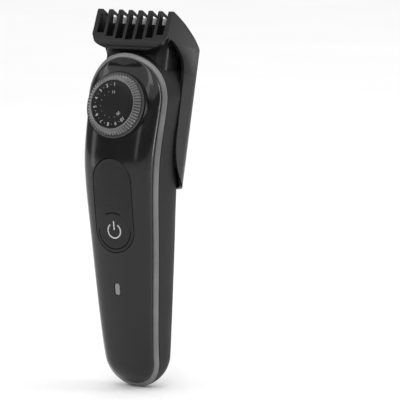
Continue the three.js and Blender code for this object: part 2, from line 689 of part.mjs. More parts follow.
function combPiece() {
  let comb = solid(slabAlongX(combSide(), 60))
    .intersect(sleeve(COMB_HALF_WIDTH, COMB_BACK, COMB_CORNER))
    .intersect(solid(slabAlongY(combFront(COMB_HALF_WIDTH, 20.4), -20, 60)));
  const room = solid(slabAlongX(combRoomSide(), 60))
    .intersect(sleeve(COMB_HALF_WIDTH - COMB_WALL, COMB_BACK - COMB_WALL, COMB_CORNER - COMB_WALL))
    .intersect(solid(slabAlongY(combFront(COMB_HALF_WIDTH - COMB_WALL, HEAD_INNER_HALF_WIDTH), -20, 60)));
  comb = comb.subtract(room).subtract(lipCut());
  const pitch = 2 * HEAD_INNER_HALF_WIDTH / (COMB_FINS + 1);
  for (let i = 0; i <= COMB_FINS; i += 1) {
    const centre = (i - COMB_FINS / 2) * pitch;
    const bottom = SLOT_BOTTOM + 2.8 * (centre / 16) ** 2;
    const half = (pitch - FIN_THICKNESS) / 2;
    comb = comb.subtract(solid(boxBetween([centre - half, -5, bottom], [centre + half, SLOT_BACK, 60])));
  }
  for (const side of [-1, 1]) {
    const [low, high] = side > 0 ? [18, HOOK.tip + GAP] : [-HOOK.tip - GAP, -18];
    comb = comb.subtract(solid(boxBetween(
      [low, HOOK.front - GAP, -60], [high, HOOK.back + GAP, HOOK.high + GAP])));
  }
  addPiece(head, 'comb', comb, GLOSS_BLACK);
}

combPiece();

export default trimmer;
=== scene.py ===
import json
import math

import bmesh
import bpy
from mathutils import Matrix, Vector


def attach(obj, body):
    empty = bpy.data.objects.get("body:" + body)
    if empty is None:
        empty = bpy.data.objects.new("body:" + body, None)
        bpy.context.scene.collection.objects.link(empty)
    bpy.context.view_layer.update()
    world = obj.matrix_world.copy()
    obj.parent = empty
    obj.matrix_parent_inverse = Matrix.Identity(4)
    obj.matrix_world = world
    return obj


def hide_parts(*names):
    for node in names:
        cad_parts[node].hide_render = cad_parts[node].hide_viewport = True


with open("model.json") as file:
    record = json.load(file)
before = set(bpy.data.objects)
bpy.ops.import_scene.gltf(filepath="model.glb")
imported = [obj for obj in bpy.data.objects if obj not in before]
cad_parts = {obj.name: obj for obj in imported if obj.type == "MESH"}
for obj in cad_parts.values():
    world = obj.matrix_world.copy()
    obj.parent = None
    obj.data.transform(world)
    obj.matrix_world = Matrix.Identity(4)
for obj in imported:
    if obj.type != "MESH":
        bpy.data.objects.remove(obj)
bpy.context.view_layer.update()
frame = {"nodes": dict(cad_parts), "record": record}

# All outlines are in millimetres; meshes are made in metres.
MM = 0.001

DEPTH_SHIFT = -11.5
HEAD_TILT = math.radians(14)
HEAD_ORIGIN = Vector((0, -6.4 + DEPTH_SHIFT, 134.5))
HANDLE = Matrix.Translation((0, DEPTH_SHIFT, 0))
HEAD = Matrix.Translation(HEAD_ORIGIN) @ Matrix.Rotation(-HEAD_TILT, 4, "X")

BOTTOM_RADIUS = 14.9
BOTTOM_CENTRE = BOTTOM_RADIUS
TOP_CENTRE = 136.6
TOP_RADIUS = 21.5
WALL = 1.8
PANEL_RIM = 2.3
PANEL_INSET = 2.0
FRONT_POWER = 2.2
REAR_POWER = 4

# Depths along the handle: (height, depth).
PARTING_LINE = [(0, 11), (6, 9), (14, 7), (23, 5.5), (41, 3.6), (66, 1.5), (93, -1.1), (104, -1.4),
                (114, -0.6), (134, 3.6), (147, 4.9), (154, 4.2), (159, 1.9)]
FRONT_CROWN = [(0, 8.1), (5, 3.6), (14, 0.4), (26, -2.7), (49, -6.2), (77, -9.1), (95, -11.2),
               (108, -12.1), (120, -10.3), (134, -6.5), (147, -3.2), (154, -0.9), (159, -0.9)]
BACK_LINE = [(0, 16), (6, 20), (14, 22.3), (23, 22.8), (57, 22.8), (94, 22.9), (104, 24.4),
             (116, 27.3), (130, 30.9), (142, 33.4), (150, 32.6), (159, 26)]

BUTTON_HEIGHT = 76.6
BUTTON_RADIUS = 8.4
PAD_HALF_WIDTH = 10.3
PAD_TOP = 100.2
LIGHT_HEIGHT = 48.9
LIGHT_HALF_WIDTH = 1.4
LIGHT_REACH = 1.6
SEAM = 0.15
DISH_RADIUS = 8.0
DISH_DEPTH = 0.55


# ---------- mesh tools ----------
def mesh_object(name, points, faces, place=Matrix.Identity(4)):
    """A new object from millimetre points, welded, with its normals outward."""
    mesh = bpy.data.meshes.new(name)
    mesh.from_pydata([tuple((place @ Vector(p)) * MM) for p in points], [], faces)
    work = bmesh.new()
    work.from_mesh(mesh)
    bmesh.ops.remove_doubles(work, verts=work.verts, dist=0.002 * MM)
    bmesh.ops.dissolve_degenerate(work, edges=work.edges, dist=0.002 * MM)
    bmesh.ops.recalc_face_normals(work, faces=work.faces)
    work.to_mesh(mesh)
    work.free()
    obj = bpy.data.objects.new(name, mesh)
    bpy.context.scene.collection.objects.link(obj)
    return obj


def apply_modifiers(obj):
    """Bakes an object's modifiers into its own mesh."""
    bpy.context.view_layer.update()
    evaluated = obj.evaluated_get(bpy.context.evaluated_depsgraph_get())
    mesh = bpy.data.meshes.new_from_object(evaluated)
    obj.modifiers.clear()
    obj.data = mesh
    return obj


def combine(base, tool, operation="DIFFERENCE"):
    """Cuts, joins or intersects base with tool, then removes tool."""
    modifier = base.modifiers.new("combine", "BOOLEAN")
    modifier.operation = operation
    modifier.solver = "EXACT"
    modifier.object = tool
    apply_modifiers(base)
    bpy.data.objects.remove(tool)
    return base


def smooth(obj, angle=30):
    """Smooth shading, with edges sharper than the angle kept crisp."""
    for polygon in obj.data.polygons:
        polygon.use_smooth = True
    obj.data.set_sharp_from_angle(angle=math.radians(angle))
    return obj


def prism(name, outline, axis, low, high, place=Matrix.Identity(4)):
    """A prism through an outline in the plane across the axis."""
    count = len(outline)
    points = []
    for level in (low, high):
        for first, second in outline:
            at = {"X": (level, first, second), "Y": (first, level, second), "Z": (first, second, level)}
            points.append(at[axis])
    faces = [list(range(count)), list(range(2 * count - 1, count - 1, -1))]
    for i in range(count):
        j = (i + 1) % count
        faces.append([i, count + i, count + j, j])
    return mesh_object(name, points, faces, place)


def arc(centre, radius, start, end, steps):
    """Points on an arc; angles in degrees."""
    points = []
    for i in range(steps + 1):
        angle = math.radians(start + (end - start) * i / steps)
        points.append((centre[0] + radius * math.cos(angle), centre[1] + radius * math.sin(angle)))
    return points


def capsule(half_width, low, high, steps=24):
    return arc((0, high), half_width, 0, 180, steps) + arc((0, low), half_width, 180, 360, steps)


# ---------- the handle's outline ----------
def depth_at(table, height):
    """Depth at a height, on a smooth curve through a table's points."""
    last = len(table) - 1
    z = min(max(height, table[0][0]), table[last][0])
    i = 0
    while i < last - 1 and z > table[i + 1][0]:
        i += 1

    def slope(k):
        before = table[max(k - 1, 0)]
        after = table[min(k + 1, last)]
        return (after[1] - before[1]) / (after[0] - before[0])

    z0, y0 = table[i]
    z1, y1 = table[i + 1]
    span = z1 - z0
    t = (z - z0) / span
    blend = t * t * (3 - 2 * t)
    lean = slope(i) * t * (1 - t) ** 2 - slope(i + 1) * t * t * (1 - t)
    return y0 + (y1 - y0) * blend + span * lean


def half_width_at(height):
    s = (height - BOTTOM_CENTRE) / (TOP_CENTRE - BOTTOM_CENTRE)
    return BOTTOM_RADIUS + (TOP_RADIUS - BOTTOM_RADIUS) * (1.35 * s - 0.35 * s * s)


def right_stations():
    """Stations up the right side: round end, tapered side, arched top."""
    arc_steps, side_steps, top_steps = 24, 60, 30
    sweep = math.radians(85.8)
    stations = []
    for i in range(arc_steps + 1):
        stations.append((BOTTOM_CENTRE, BOTTOM_RADIUS, -math.pi / 2 + sweep * i / arc_steps))
    for i in range(1, side_steps):
        stations.append((BOTTOM_CENTRE + (TOP_CENTRE - BOTTOM_CENTRE) * i / side_steps, None, None))
    for i in range(top_steps + 1):
        stations.append((TOP_CENTRE, TOP_RADIUS, math.pi / 2 * i / top_steps))
    return stations


def outline_point(station, inset, share):
    """A point of the outline, as (x, z, level)."""
    centre, radius, angle = station
    if radius is None:
        return (half_width_at(centre) - inset) * share, centre, centre
    rise = math.sin(angle) * share
    x = math.cos(angle) * (radius - inset) * share
    return x, centre + rise * (radius - inset), centre + rise * radius


def ring_body(name, rings, closed=False):
    """A closed body through rings of the outline; each ring is (inset, share, depth)."""
    right = right_stations()
    left = right[-2:0:-1]
    count = len(right) + len(left)
    points = []
    for inset, share, depth in rings:
        for i, station in enumerate(right + left):
            x, z, level = outline_point(station, inset, share)
            points.append((x if i < len(right) else -x, depth(level), z))
    faces = []
    for k in range(len(rings) if closed else len(rings) - 1):
        here = k * count
        after = ((k + 1) % len(rings)) * count
        for i in range(count):
            j = (i + 1) % count
            faces.append([here + i, after + i, after + j, here + j])
    return mesh_object(name, points, faces, HANDLE)


def parting_at(level):
    return depth_at(PARTING_LINE, level)


def shares(angle, power):
    share = max(math.cos(math.radians(angle)), 0) ** (2 / power)
    return (0 if angle == 90 else share), math.sin(math.radians(angle)) ** (2 / power)


def front_body(name, inset, drop, behind):
    lead = 0.6 if behind > 0 else 0

    def crown(rise):
        def depth(level):
            rim = parting_at(level) - PANEL_RIM + lead
            return rim - (rim - depth_at(FRONT_CROWN, level) - drop) * rise
        return depth

    def back(level):
        return parting_at(level) - PANEL_RIM + behind

    rings = []
    for angle in (90, 84, 78, 72, 65, 58, 51, 44, 37, 30, 24, 18, 12, 7, 3, 0):
        share, rise = shares(angle, FRONT_POWER)
        rings.append((inset, share, crown(rise)))
    if behind > 0:
        rings.append((inset, 1, back))
    rings += [(inset + 2.4, 1, back), (inset, 0, back)]
    return ring_body(name, rings)


def rear_body(name, inset, ahead):
    def front(level):
        return parting_at(level) - ahead

    def crown(rise):
        def depth(level):
            rim = parting_at(level)
            return rim + (depth_at(BACK_LINE, level) - inset - rim) * rise
        return depth

    rings = [(inset, 0, front), (inset + 3.2, 1, front), (inset, 1, front)]
    for angle in (() if ahead > 0 else (0,)) + (2, 5, 9, 14, 20, 27, 34, 42, 50, 58, 66, 74, 82, 90):
        share, rise = shares(angle, REAR_POWER)
        rings.append((inset, share, crown(rise)))
    return ring_body(name, rings)


def front_surface(x, z):
    """Depth of the front panel's surface beside a point on the handle's straight stretch."""
    share = min(abs(x) / (half_width_at(z) - PANEL_INSET), 1)
    rise = (1 - share ** FRONT_POWER) ** (1 / FRONT_POWER)
    rim = parting_at(z) - PANEL_RIM
    return rim - (rim - depth_at(FRONT_CROWN, z)) * rise


# ---------- housing pieces ----------
def through_front(name, outline):
    return prism(name, outline, "Y", -40, 5, HANDLE)


def make_front_panel():
    panel = front_body("front_panel_skin", PANEL_INSET, 0, 0)
    combine(panel, front_body("inner", PANEL_INSET + WALL, WALL, 4))
    seat_radius = 15.9
    seat = prism("seat", arc((0, 0), seat_radius, 0, 354, 59), "Y", -0.1, 4.4, HEAD)
    combine(panel, seat, "UNION")
    cam_room = prism("cam_room", arc((0, 0), 14.2, 0, 350, 35), "Y", 2.2, 12, HEAD)
    combine(panel, cam_room)
    combine(panel, through_front("pad_hole", capsule(PAD_HALF_WIDTH + SEAM, BUTTON_HEIGHT, PAD_TOP)))
    low, high = LIGHT_HEIGHT - LIGHT_REACH, LIGHT_HEIGHT + LIGHT_REACH
    combine(panel, through_front("light_hole", capsule(LIGHT_HALF_WIDTH + SEAM, low, high)))
    return smooth(panel, 32)


def capsule_ring(half_width, steps=48):
    """The pad's outline as evenly counted points, top arc then bottom arc."""
    return capsule(half_width, BUTTON_HEIGHT, PAD_TOP, steps)


def surface_ring(outline, lift):
    """Outline points laid on the front surface, moved forward by lift."""
    return [(x, front_surface(x, z) - lift, z) for x, z in outline]


def rings_to_mesh(name, rings, place, closed=False):
    """Quads between rings of equal count; open ends are closed with a face each."""
    count = len(rings[0])
    points = [p for ring in rings for p in ring]
    faces = []
    for k in range(len(rings) if closed else len(rings) - 1):
        here = k * count
        after = ((k + 1) % len(rings)) * count
        for i in range(count):
            j = (i + 1) % count
            faces.append([here + i, here + j, after + j, after + i])
    if not closed:
        faces.append(list(range(count)))
        faces.append(list(range((len(rings) - 1) * count, len(rings) * count)))
    return mesh_object(name, points, faces, place)


def make_grip_pad():
    """A capsule-shaped pad round the button, with rolled edges."""
    outer = capsule_ring(PAD_HALF_WIDTH - SEAM)
    hole_radius = BUTTON_RADIUS + 0.3
    inner = []
    for x, z in outer:
        angle = math.atan2(z - BUTTON_HEIGHT, x)
        inner.append((hole_radius * math.cos(angle), BUTTON_HEIGHT + hole_radius * math.sin(angle)))

    def between(share):
        return [(a[0] + (b[0] - a[0]) * share, a[1] + (b[1] - a[1]) * share) for a, b in zip(outer, inner)]

    rings = [surface_ring(outer, -1.7), surface_ring(outer, -0.35)]
    for share in (0.02, 0.06, 0.15, 0.3, 0.5, 0.7, 0.85, 0.94, 0.98):
        rings.append(surface_ring(between(share), -0.08 if share in (0.02, 0.98) else 0.0))
    rings += [surface_ring(inner, -0.35), surface_ring(inner, -1.7)]
    return smooth(rings_to_mesh("grip_pad_skin", rings, HANDLE, closed=True), 40)


def dish_hollow(radius):
    """How far the button's dish lies behind the panel's surface."""
    return DISH_DEPTH * max(1 - (radius / DISH_RADIUS) ** 2, 0) ** 1.5


def dish_ring(radius, lift, steps=64):
    hollow = dish_hollow(radius)
    outline = [(radius * math.cos(a), BUTTON_HEIGHT + radius * math.sin(a))
               for a in (2 * math.pi * i / steps for i in range(steps))]
    return surface_ring(outline, lift - hollow)


def make_power_button():
    """The round button: a shallow dish with a rolled rim."""
    rings = [dish_ring(BUTTON_RADIUS, -1.8), dish_ring(BUTTON_RADIUS, -0.4)]
    rings.append(dish_ring(BUTTON_RADIUS - 0.12, -0.1))
    for radius in (8.1, 7.6, 7, 6.2, 5.4, 4.6, 3.8, 3, 2.2, 1.4, 0.7):
        rings.append(dish_ring(radius, 0))
    rings.append([(x * 0.02, y, BUTTON_HEIGHT + (z - BUTTON_HEIGHT) * 0.02) for x, y, z in rings[-1]])
    return smooth(rings_to_mesh("power_button_cap", rings, HANDLE), 40)


def make_power_symbol():
    """A printed open ring with a bar, a hair proud of the dish."""
    radius, line, gap = 3.7, 0.62, 35
    outline = arc((0, BUTTON_HEIGHT), radius, 90 + gap, 450 - gap, 40)
    outline += arc((0, BUTTON_HEIGHT), radius - line, 450 - gap, 90 + gap, 40)
    bar = [(-line / 2, BUTTON_HEIGHT + 0.4), (line / 2, BUTTON_HEIGHT + 0.4),
           (line / 2, BUTTON_HEIGHT + radius + 0.9), (-line / 2, BUTTON_HEIGHT + radius + 0.9)]
    points, faces = [], []

    def dished(x, z, lift):
        hollow = dish_hollow(math.hypot(x, z - BUTTON_HEIGHT))
        return (x, front_surface(x, z) - lift + hollow, z)

    for shape in (outline, bar):
        half = len(shape) // 2
        start = len(points)
        for lift in (0.04, -0.06):
            points += [dished(x, z, lift) for x, z in shape]
        count = len(shape)
        for i in range(half - 1):
            a, b, c, d = i, i + 1, count - 2 - i, count - 1 - i
            faces.append([start + v for v in (a, b, c, d)])
            faces.append([start + count + v for v in (d, c, b, a)])
        for i in range(count):
            j = (i + 1) % count
            faces.append([start + i, start + j, start + count + j, start + count + i])
    return mesh_object("power_symbol", points, faces, HANDLE)


def make_charge_light():
    """The drop-shaped window, slightly domed."""
    rings = []
    low, high = LIGHT_HEIGHT - LIGHT_REACH, LIGHT_HEIGHT + LIGHT_REACH
    for grow, lift in ((-SEAM, -1.6), (-SEAM, -0.2), (-0.35, 0.0), (-0.8, 0.1), (-1.25, 0.13)):
        outline = capsule(LIGHT_HALF_WIDTH + grow, low, high, 16)
        rings.append(surface_ring(outline, lift))
    return smooth(rings_to_mesh("charge_light_window", rings, HANDLE), 40)


def make_pad_dots():
    """Small raised dots in staggered rows over the pad's upper part."""
    pitch, dot_radius, dot_height = 1.5, 0.36, 0.16
    points, faces = [], []
    row = 0
    z = BUTTON_HEIGHT + 10.2
    while z < PAD_TOP + PAD_HALF_WIDTH - 1.4:
        reach = PAD_HALF_WIDTH - 1.3
        if z > PAD_TOP:
            reach = math.sqrt(max(reach ** 2 - (z - PAD_TOP) ** 2, 0))
        half_count = int(reach / pitch) + 1
        for i in range(-half_count, half_count + 1):
            x = (i + 0.5 * (row % 2)) * pitch
            if abs(x) > reach or math.hypot(x, z - BUTTON_HEIGHT) < BUTTON_RADIUS + 1.5:
                continue
            start = len(points)
            sides = 8
            for radius, lift in ((dot_radius, -0.1), (dot_radius, 0.03), (0.55 * dot_radius, dot_height)):
                for k in range(sides):
                    a = 2 * math.pi * k / sides
                    px, pz = x + radius * math.cos(a), z + radius * math.sin(a)
                    points.append((px, front_surface(px, pz) - lift, pz))
            for ring in range(2):
                for k in range(sides):
                    n = (k + 1) % sides
                    a, b = start + ring * sides + k, start + ring * sides + n
                    faces.append([a, b, b + sides, a + sides])
            faces.append([start + k for k in range(sides)])
            faces.append([start + 2 * sides + k for k in range(sides)])
        row += 1
        z += pitch * 0.87
    return smooth(mesh_object("pad_dots", points, faces, HANDLE), 40)


def make_trim_strip():
    """The satin strip, its outer edges rolled."""
    section = [(0, -0.55), (0.12, -0.85), (1.35, -1.9), (1.7, -2.0), (2.9, -2.0), (2.9, -1.2), (1.4, -0.3),
               (0.15, -0.3)]

    def offset_by(offset):
        return lambda level: parting_at(level) + offset

    rings = [(inset, 1, offset_by(offset)) for inset, offset in section]
    return smooth(ring_body("trim_strip_band", rings, closed=True), 38)


# ---------- dial ----------
def make_dial_knob():
    """The knurled skirt: rounded teeth over a sloping flank."""
    teeth, per_tooth, tooth_depth = 60, 8, 1.05
    count = teeth * per_tooth
    # Each is (radius, depth, share of the tooth depth).
    profile = [(2.5, -1.1, 0), (13.9, -1.1, 0), (14.2, -1.2, 0.4), (14.4, -1.4, 1), (14.4, -1.9, 1),
               (14.1, -2.25, 1), (13.3, -2.85, 1), (12.3, -3.6, 0.9), (12.05, -3.8, 0.5), (11.85, -3.9, 0),
               (11.5, -3.9, 0), (11.35, -3.8, 0), (11.3, -3.65, 0), (11.3, -2.6, 0), (2.5, -2.6, 0)]
    rings = []
    for radius, depth, knurl in profile:
        ring = []
        for i in range(count):
            phase = 2 * math.pi * (i % per_tooth) / per_tooth
            r = radius - knurl * tooth_depth * (0.5 - 0.5 * math.cos(phase))
            angle = 2 * math.pi * i / count
            ring.append((r * math.cos(angle), depth, r * math.sin(angle)))
        rings.append(ring)
    return smooth(rings_to_mesh("dial_knob_skirt", rings, HEAD, closed=True), 50)


def make_dial_face():
    profile = [(11, -2.9), (11, -3.55), (10.9, -3.66), (10.75, -3.7), (8, -3.7), (3, -3.7), (0.3, -3.7)]
    rings = []
    for radius, depth in profile:
        rings.append([(radius * math.cos(a), depth, radius * math.sin(a))
                      for a in (2 * math.pi * i / 96 for i in range(96))])
    return smooth(rings_to_mesh("dial_face_disc", rings, HEAD), 40)


def printed_text(text, size, radius, angle):
    """A number on the dial face, its top outwards; the angle is counter-clockwise from the top."""
    curve = bpy.data.curves.new("print", "FONT")
    curve.body = text
    curve.size = size * MM
    curve.align_x = "CENTER"
    curve.align_y = "CENTER"
    curve.extrude = 0.02 * MM
    curve.resolution_u = 6
    obj = bpy.data.objects.new("print", curve)
    bpy.context.scene.collection.objects.link(obj)
    face = 3.7
    turn = Matrix.Rotation(-math.radians(angle), 4, "Y")
    lay = Matrix.Translation(Vector((0, -face, radius)) * MM) @ Matrix.Rotation(math.radians(90), 4, "X")
    head = Matrix.Translation(HEAD_ORIGIN * MM) @ Matrix.Rotation(-HEAD_TILT, 4, "X")
    obj.matrix_world = head @ turn @ lay
    return obj


def make_dial_numbers():
    """Numbers 1 to 10 round the face, with dots between, and an inner row of dots."""
    step, ring_radius = 25, 9.2
    prints = []
    for number in range(1, 11):
        angle = step * (number - 1)
        prints.append(printed_text(str(number), 2.3, ring_radius, angle))
        if number < 10:
            prints.append(printed_text("•", 1.2, ring_radius, angle + step / 2))
    inner = 5.6
    prints.append(printed_text("11", 1.9, inner, 0))
    prints.append(printed_text("20", 1.9, inner, 9 * step))
    for i in range(1, 9):
        prints.append(printed_text("•", 1.1, inner + 0.5, i * step))
    bpy.context.view_layer.update()
    work = bmesh.new()
    graph = bpy.context.evaluated_depsgraph_get()
    for obj in prints:
        mesh = bpy.data.meshes.new_from_object(obj.evaluated_get(graph))
        mesh.transform(obj.matrix_world)
        work.from_mesh(mesh)
        bpy.data.objects.remove(obj)
    mesh = bpy.data.meshes.new("dial_numbers")
    work.to_mesh(mesh)
    work.free()
    numbers = bpy.data.objects.new("dial_numbers", mesh)
    bpy.context.scene.collection.objects.link(numbers)
    return numbers


# ---------- comb ----------
COMB_HALF_WIDTH = 21.8
COMB_BACK = 38.1
COMB_CORNER = 9.5
COMB_WALL = 1.5
COMB_FINS = 6
FIN_THICKNESS = 1.5
HEAD_INNER = 18.9
FRONT_LIP = 26.1
TIP_HALF_WIDTH = 20.4


def rounded(points, passes=3, share=0.24):
    """Cuts the corners of an open outline, so that its bends are smooth; its two ends stay."""
    for _ in range(passes):
        cut = [points[0]]
        for a, b in zip(points, points[1:]):
            cut.append((a[0] + (b[0] - a[0]) * share, a[1] + (b[1] - a[1]) * share))
            cut.append((b[0] - (b[0] - a[0]) * share, b[1] - (b[1] - a[1]) * share))
        points = cut + [points[-1]]
    return points


def comb_lower_edge():
    points = []
    steps = 28
    for i in range(steps + 1):
        angle = math.pi / 2 * (1 - i / steps)
        points.append((COMB_BACK - 17.6 * math.cos(angle), -8 - 25 * math.sin(angle)))
    return points


def comb_side():
    """The comb's outside in (depth, height)."""
    front = [(20.1, 17), (20.4, 22), (18.6, 26.5), (14.5, 30), (9.5, 32.6), (6.4, 33), (5, 30.5),
             (3.2, FRONT_LIP), (1.8, 27.2), (1.7, 29.2), (3.2, 32), (5.3, 44.8), (5.9, 45.7), (7.2, 45.6)]
    back = [(15.9, 42.8), (22.3, 39.9), (28.3, 36.8), (33.1, 33.2), (36.2, 29), (37.8, 24), (38.1, 18)]
    return comb_lower_edge() + rounded(front + back)


def comb_room_side():
    return [(60, -60), (-10, -60), (-10, 24), (4.8, 24), (4.8, 31), (7.8, 33.4), (7.8, 43.2), (8.6, 43.9),
            (12.4, 43.5), (13.6, 41), (22, 37.4), (28, 34.6), (32.2, 31.4), (35, 27.6), (36.3, 23.6),
            (36.6, 19), (36.6, 10), (60, 10)]


def comb_front(low_half, high_half):
    right = [(low_half, -60), (low_half, 15)]
    for i in range(1, 12):
        t = i / 12
        right.append((low_half + (high_half - low_half) * t * t * (3 - 2 * t), 15 + 17 * t))
    right += [(high_half, 32), (high_half, 60)]
    return right + [(-x, z) for x, z in reversed(right)]


def sleeve(name, half_width, back, corner):
    outline = [(-half_width, -20), (half_width, -20)]
    outline += arc((half_width - corner, back - corner), corner, 0, 90, 20)
    outline += arc((-half_width + corner, back - corner), corner, 90, 180, 20)
    return prism(name, outline, "Z", -90, 90, HEAD)


def box_in_head(name, low, high):
    corners = [(low[0], low[2]), (high[0], low[2]), (high[0], high[2]), (low[0], high[2])]
    return prism(name, corners, "Y", low[1], high[1], HEAD)


def make_comb():
    comb = prism("comb_guard_shell", comb_side(), "X", -30, 30, HEAD)
    combine(comb, sleeve("sleeve", COMB_HALF_WIDTH, COMB_BACK, COMB_CORNER), "INTERSECT")
    front = comb_front(COMB_HALF_WIDTH, TIP_HALF_WIDTH)
    combine(comb, prism("front", front, "Y", -20, 60, HEAD), "INTERSECT")
    room = prism("room", comb_room_side(), "X", -30, 30, HEAD)
    inner_half = COMB_HALF_WIDTH - COMB_WALL
    inner_sleeve = sleeve("inner_sleeve", inner_half, COMB_BACK - COMB_WALL, COMB_CORNER - COMB_WALL)
    combine(room, inner_sleeve, "INTERSECT")
    inner_front = comb_front(inner_half, HEAD_INNER)
    combine(room, prism("inner_front", inner_front, "Y", -20, 60, HEAD), "INTERSECT")
    combine(comb, room)
    lip = []
    for i in range(41):
        u = 24 * (i / 20 - 1)
        corner = 3.0 * max((abs(u) - 17) / 4, 0) ** 2
        lip.append((u, FRONT_LIP - 0.4 + 5.2 * abs(u / 20) ** 3 + corner))
    lip += [(24, 10), (-24, 10)]
    combine(comb, prism("lip", lip, "Y", -5, 5.2, HEAD))
    pitch = 2 * HEAD_INNER / (COMB_FINS + 1)
    half = (pitch - FIN_THICKNESS) / 2
    for i in range(COMB_FINS + 1):
        centre = (i - COMB_FINS / 2) * pitch
        bottom = 31.2 + 2.8 * (centre / 16) ** 2
        combine(comb, box_in_head("slot", (centre - half, -5, bottom), (centre + half, 30, 60)))
    for side in (-1, 1):
        low, high = sorted((18 * side, 21.2 * side))
        combine(comb, box_in_head("hook_groove", (low, 24.7, -60), (high, 29.3, -8.7)))
    bevel_edges(comb, 0.42)
    return comb


def bevel_edges(obj, width, segments=3):
    """Rounds every sharp edge a little, by modifiers; the vertices stay where they are."""
    flat = obj.modifiers.new("flat", "DECIMATE")
    flat.decimate_type = "DISSOLVE"
    flat.angle_limit = math.radians(1.0)
    bevel = obj.modifiers.new("edge", "BEVEL")
    bevel.width = width * MM
    bevel.segments = segments
    bevel.limit_method = "ANGLE"
    bevel.angle_limit = math.radians(38)
    bevel.harden_normals = True
    bevel.use_clamp_overlap = True
    for polygon in obj.data.polygons:
        polygon.use_smooth = True
    obj.data.set_sharp_from_angle(angle=math.radians(38))
    return obj


# ---------- rear shell ----------
def make_rear_shell():
    """The tub with its step for the comb, neck hole, hook slots and charging hole."""
    shell = rear_body("rear_shell_tub", 0, 0)
    combine(shell, comb_recess("recess", 0))
    inner = rear_body("inner_tub", WALL, 4)
    combine(inner, comb_recess("inner_recess", WALL))
    combine(shell, inner)
    neck_half, neck_front, neck_back, neck_corner = 16.9, 8.2, 26.4, 5.4
    outline = arc((neck_half - neck_corner, neck_back - neck_corner), neck_corner, 0, 90, 12)
    outline += arc((-neck_half + neck_corner, neck_back - neck_corner), neck_corner, 90, 180, 12)
    outline += arc((-neck_half + neck_corner, neck_front + neck_corner), neck_corner, 180, 270, 12)
    outline += arc((neck_half - neck_corner, neck_front + neck_corner), neck_corner, 270, 360, 12)
    combine(shell, prism("neck", outline, "Z", 10, 80, HEAD))
    combine(shell, box_in_head("hook_slot", (-40, 24.6, -15.6), (40, 29.4, 0.6)))
    socket = [(-4.5, -5), (4.5, -5), (4.5, 13), (-4.5, 13)]
    combine(shell, prism("socket_hole", socket, "Y", 12.3, 16.9, HANDLE))
    return shell


def comb_recess(name, grow):
    """The room round the handle that the comb's sleeve slides into."""
    clearance = COMB_WALL + 0.4 + grow
    edge = []
    steps = 28
    for i in range(steps + 1):
        angle = math.pi / 2 * (1 - i / steps)
        edge.append((COMB_BACK - (18.1 + grow) * math.cos(angle), -8 - (25.5 + grow) * math.sin(angle)))
    outline = [(70, -8 - 25.5 - grow)] + edge + [(20 - grow, 90), (70, 90)]
    region = prism(name, outline, "X", -60, 60, HEAD)
    kept = sleeve("kept", COMB_HALF_WIDTH - clearance, COMB_BACK - clearance, COMB_CORNER - clearance)
    return combine(region, kept)


# ---------- materials ----------
def new_material(name):
    material = bpy.data.materials.new(name)
    material.use_nodes = True
    nodes = material.node_tree.nodes
    return material, nodes, material.node_tree.links, nodes["Principled BSDF"]


def add_noise(nodes, links, scale, detail=4.0, roughness=0.55):
    """Noise in the object's own space; scale is in features per metre."""
    place = nodes.new("ShaderNodeTexCoord")
    noise = nodes.new("ShaderNodeTexNoise")
    noise.inputs["Scale"].default_value = scale
    noise.inputs["Detail"].default_value = detail
    noise.inputs["Roughness"].default_value = roughness
    links.new(place.outputs["Object"], noise.inputs["Vector"])
    return noise.outputs["Fac"]


def vary(nodes, links, source, low, high):
    """Maps a noise's middle range onto low..high."""
    span = nodes.new("ShaderNodeMapRange")
    span.inputs["From Min"].default_value = 0.3
    span.inputs["From Max"].default_value = 0.7
    span.inputs["To Min"].default_value = low
    span.inputs["To Max"].default_value = high
    links.new(source, span.inputs["Value"])
    return span.outputs["Result"]


def finish_material(name, dark, light, roughness, grain, bump,
                    metallic=0.0, coat=0.0, specular=0.5, blotch=60):
    """A moulded or metal finish: colour drift, uneven gloss and a fine surface grain."""
    material, nodes, links, shader = new_material(name)
    drift = add_noise(nodes, links, blotch)
    fine = add_noise(nodes, links, grain, 3.0)
    ramp = nodes.new("ShaderNodeValToRGB")
    ramp.color_ramp.elements[0].position = 0.35
    ramp.color_ramp.elements[0].color = (*dark, 1)
    ramp.color_ramp.elements[1].position = 0.65
    ramp.color_ramp.elements[1].color = (*light, 1)
    links.new(drift, ramp.inputs["Fac"])
    links.new(ramp.outputs["Color"], shader.inputs["Base Color"])
    links.new(vary(nodes, links, drift, *roughness), shader.inputs["Roughness"])
    relief = nodes.new("ShaderNodeBump")
    relief.inputs["Strength"].default_value = bump
    relief.inputs["Distance"].default_value = 0.05 * MM
    links.new(fine, relief.inputs["Height"])
    links.new(relief.outputs["Normal"], shader.inputs["Normal"])
    shader.inputs["Metallic"].default_value = metallic
    shader.inputs["Coat Weight"].default_value = coat
    shader.inputs["Specular IOR Level"].default_value = specular
    shader.inputs["Coat Roughness"].default_value = 0.06
    return material


def grey(value):
    """A grey with a trace of blue."""
    return value, value, value * 1.02


